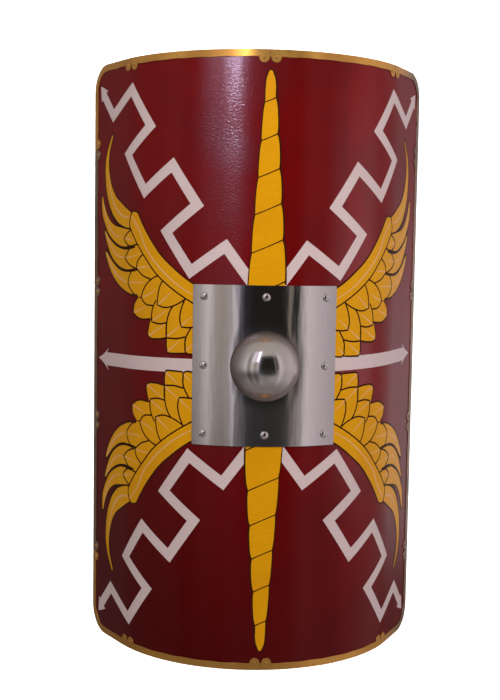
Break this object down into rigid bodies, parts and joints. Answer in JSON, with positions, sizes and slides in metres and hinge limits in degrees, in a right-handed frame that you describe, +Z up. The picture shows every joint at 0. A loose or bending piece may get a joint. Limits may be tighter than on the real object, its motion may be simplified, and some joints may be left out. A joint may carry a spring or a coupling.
{
  "type": "roman scutum shield",
  "caption": "Curved rectangular plywood shield with a painted winged thunderbolt face, brass edging, a domed steel boss plate and a wooden grip across its hand hole.",
  "frame": {"origin": "below the middle of the board, in the plane that the two long edges rest on, with the shield lying face up", "axes": "+Z up out of the painted face at the boss, +Y along the height to the shield's top edge, +X across to the right of somebody looking down on the face"},
  "size_m": [0.604, 1.05, 0.3016],
  "materials": {
    "painted_board": "gloss dark red lacquer over canvas on the face, stained plywood on the back",
    "brass_edging": "satin, lightly tarnished",
    "polished_steel": "polished",
    "grip_wood": "oiled"
  },
  "bodies": {
    "root": {"board": "painted_board", "boss_plate": "polished_steel", "edging_bottom_left": "brass_edging", "edging_bottom_right": "brass_edging", "edging_corner_bottom_left": "brass_edging", "edging_corner_bottom_right": "brass_edging", "edging_corner_top_left": "brass_edging", "edging_corner_top_right": "brass_edging", "edging_left_lower": "brass_edging", "edging_left_middle": "brass_edging", "edging_left_upper": "brass_edging", "edging_nail_01": "brass_edging", "edging_nail_02": "brass_edging", "edging_nail_03": "brass_edging", "edging_nail_04": "brass_edging", "edging_nail_05": "brass_edging", "edging_nail_06": "brass_edging", "edging_nail_07": "brass_edging", "edging_nail_08": "brass_edging", "edging_nail_09": "brass_edging", "edging_nail_10": "brass_edging", "edging_nail_11": "brass_edging", "edging_nail_12": "brass_edging", "edging_nail_13": "brass_edging", "edging_nail_14": "brass_edging", "edging_nail_15": "brass_edging", "edging_nail_16": "brass_edging", "edging_nail_17": "brass_edging", "edging_nail_18": "brass_edging", "edging_nail_19": "brass_edging", "edging_nail_20": "brass_edging", "edging_nail_21": "brass_edging", "edging_nail_22": "brass_edging", "edging_nail_23": "brass_edging", "edging_nail_24": "brass_edging", "edging_nail_25": "brass_edging", "edging_nail_26": "brass_edging", "edging_nail_27": "brass_edging", "edging_nail_28": "brass_edging", "edging_right_lower": "brass_edging", "edging_right_middle": "brass_edging", "edging_right_upper": "brass_edging", "edging_top_left": "brass_edging", "edging_top_right": "brass_edging", "grip": "grip_wood", "rivet_bottom_centre": "polished_steel", "rivet_bottom_left": "polished_steel", "rivet_bottom_right": "polished_steel", "rivet_middle_left": "polished_steel", "rivet_middle_right": "polished_steel", "rivet_top_centre": "polished_steel", "rivet_top_left": "polished_steel", "rivet_top_right": "polished_steel"}
  },
  "joints": []
}
